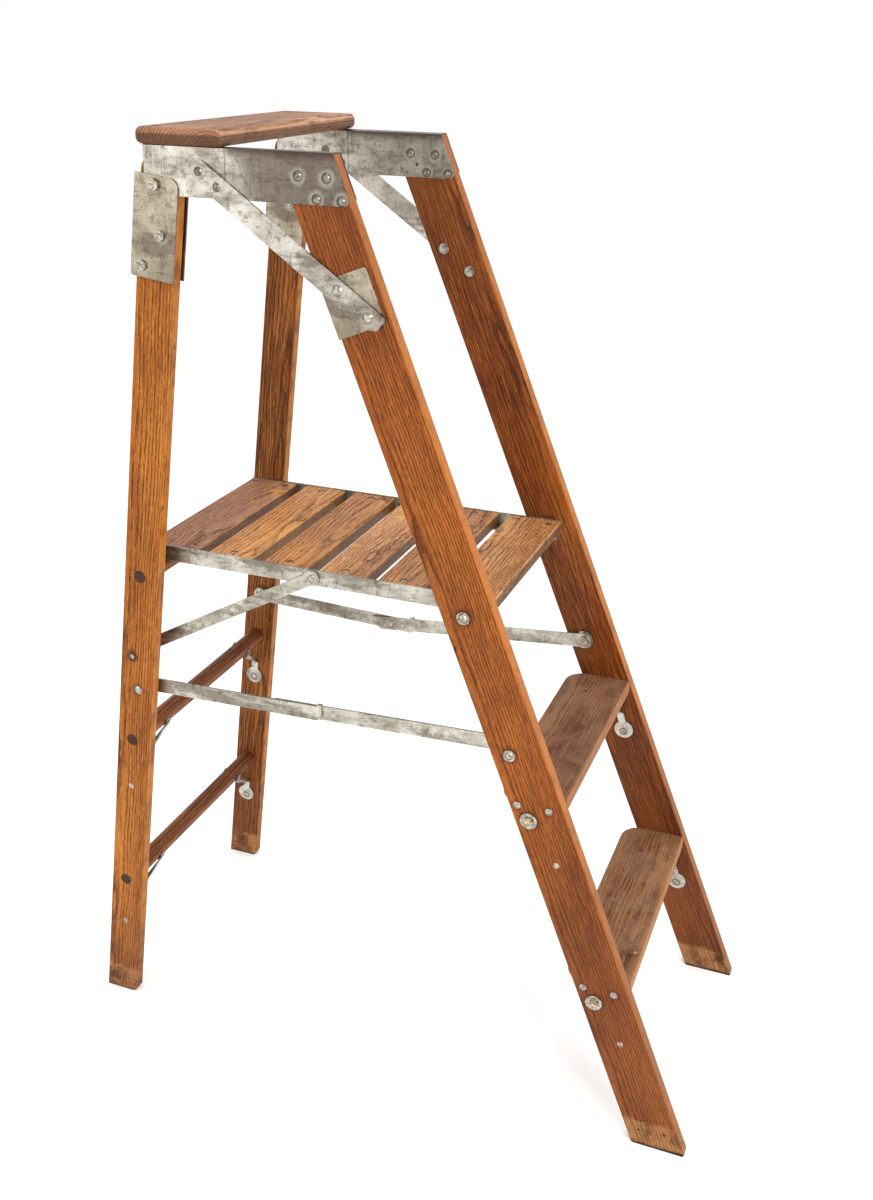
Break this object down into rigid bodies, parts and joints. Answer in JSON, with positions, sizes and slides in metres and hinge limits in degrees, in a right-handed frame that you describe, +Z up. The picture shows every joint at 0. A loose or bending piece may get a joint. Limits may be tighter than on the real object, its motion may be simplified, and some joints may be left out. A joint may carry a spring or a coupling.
{
  "type": "library ladder",
  "caption": "Folding oak platform step ladder: two steps, a slatted platform and a top board on stiles joined to swinging rear legs by side irons.",
  "frame": {"origin": "on the floor, at the middle of the footprint", "axes": "+Z up, -Y towards the climbing side, X across the ladder"},
  "size_m": [0.4882, 1.0944, 1.529],
  "materials": {
    "oak": "aged satin varnish, worn at the feet and steps",
    "aged_nickel": "tarnished nickel-plated sheet",
    "galvanised_steel": "dull galvanised bar",
    "fastener_steel": "worn bright steel"
  },
  "bodies": {
    "front_frame": {"board_screws": "fastener_steel", "brace_bolts": "fastener_steel", "iron_rivets": "fastener_steel", "left_brace": "aged_nickel", "left_brace_plate": "aged_nickel", "left_iron": "aged_nickel", "left_stile": "oak", "lower_step": "oak", "lower_step_brackets": "aged_nickel", "platform_bolts": "fastener_steel", "right_brace": "aged_nickel", "right_brace_plate": "aged_nickel", "right_iron": "aged_nickel", "right_stile": "oak", "spreader_front_bolts": "fastener_steel", "step_bracket_rivets": "fastener_steel", "step_screws": "fastener_steel", "tie_rod_nuts": "fastener_steel", "tie_rods": "fastener_steel", "top_board": "oak", "upper_step": "oak", "upper_step_brackets": "aged_nickel"},
    "rear_frame": {"hinge_bolts": "fastener_steel", "left_inner_leg_plate": "aged_nickel", "left_leg": "oak", "left_outer_leg_plate": "aged_nickel", "leg_pivot_bolts": "fastener_steel", "leg_plate_bolts": "fastener_steel", "lower_rung": "oak", "lower_rung_brackets": "aged_nickel", "middle_rung": "oak", "middle_rung_brackets": "aged_nickel", "right_inner_leg_plate": "aged_nickel", "right_leg": "oak", "right_outer_leg_plate": "aged_nickel", "rung_rivets": "fastener_steel", "top_rung": "oak"},
    "platform": {"left_platform_iron": "galvanised_steel", "right_platform_iron": "galvanised_steel", "slat_1": "oak", "slat_2": "oak", "slat_3": "oak", "slat_4": "oak", "slat_5": "oak", "slat_6": "oak", "slat_screws": "fastener_steel", "strut_rivets": "fastener_steel"},
    "left_strut_arm": {"left_strut": "galvanised_steel", "left_strut_bolt": "fastener_steel"},
    "left_front_link": {"left_spreader_front_link": "galvanised_steel"},
    "left_rear_link": {"left_spreader_rear_link": "galvanised_steel", "left_knee_rivet": "fastener_steel", "left_rear_link_bolt": "fastener_steel"},
    "right_strut_arm": {"right_strut": "galvanised_steel", "right_strut_bolt": "fastener_steel"},
    "right_front_link": {"right_spreader_front_link": "galvanised_steel"},
    "right_rear_link": {"right_spreader_rear_link": "galvanised_steel", "right_knee_rivet": "fastener_steel", "right_rear_link_bolt": "fastener_steel"}
  },
  "joints": [
    {"name": "leg_fold", "type": "hinge", "parent": "front_frame", "child": "rear_frame", "pos_m": [0, 0.33327, 1.4535], "axis": [-1, 0, 0], "range_deg": [0, 29]},
    {"name": "platform_tilt", "type": "hinge", "parent": "front_frame", "child": "platform", "pos_m": [0, -0.1391, 0.8791], "axis": [1, 0, 0], "range_deg": [0, 57.29]},
    {"name": "left_strut_turn", "type": "hinge", "parent": "platform", "child": "left_strut_arm", "pos_m": [0, 0.12479, 0.88145], "axis": [-1, 0, 0], "range_deg": [0, 108.45]},
    {"name": "left_spreader_turn", "type": "hinge", "parent": "front_frame", "child": "left_front_link", "pos_m": [0, -0.21913, 0.66951], "axis": [1, 0, 0], "range_deg": [0, 57.8]},
    {"name": "left_knee_turn", "type": "hinge", "parent": "left_front_link", "child": "left_rear_link", "pos_m": [0, 0.15207, 0.65435], "axis": [-1, 0, 0], "range_deg": [0, 139.01]},
    {"name": "right_strut_turn", "type": "hinge", "parent": "platform", "child": "right_strut_arm", "pos_m": [0, 0.12479, 0.88145], "axis": [-1, 0, 0], "range_deg": [0, 108.45]},
    {"name": "right_spreader_turn", "type": "hinge", "parent": "front_frame", "child": "right_front_link", "pos_m": [0, -0.21913, 0.66951], "axis": [1, 0, 0], "range_deg": [0, 60.89]},
    {"name": "right_knee_turn", "type": "hinge", "parent": "right_front_link", "child": "right_rear_link", "pos_m": [0, 0.15135, 0.63487], "axis": [-1, 0, 0], "range_deg": [0, 146.12]}
  ],
  "couplings": [
    {"joint": "platform_tilt", "follows": "leg_fold", "ratio": 1.9753},
    {"joint": "left_strut_turn", "follows": "leg_fold", "ratio": 3.7395},
    {"joint": "left_spreader_turn", "follows": "leg_fold", "ratio": 1.9929},
    {"joint": "left_knee_turn", "follows": "leg_fold", "ratio": 4.7931},
    {"joint": "right_strut_turn", "follows": "leg_fold", "ratio": 3.7395},
    {"joint": "right_spreader_turn", "follows": "leg_fold", "ratio": 2.0993},
    {"joint": "right_knee_turn", "follows": "leg_fold", "ratio": 5.0382}
  ]
}
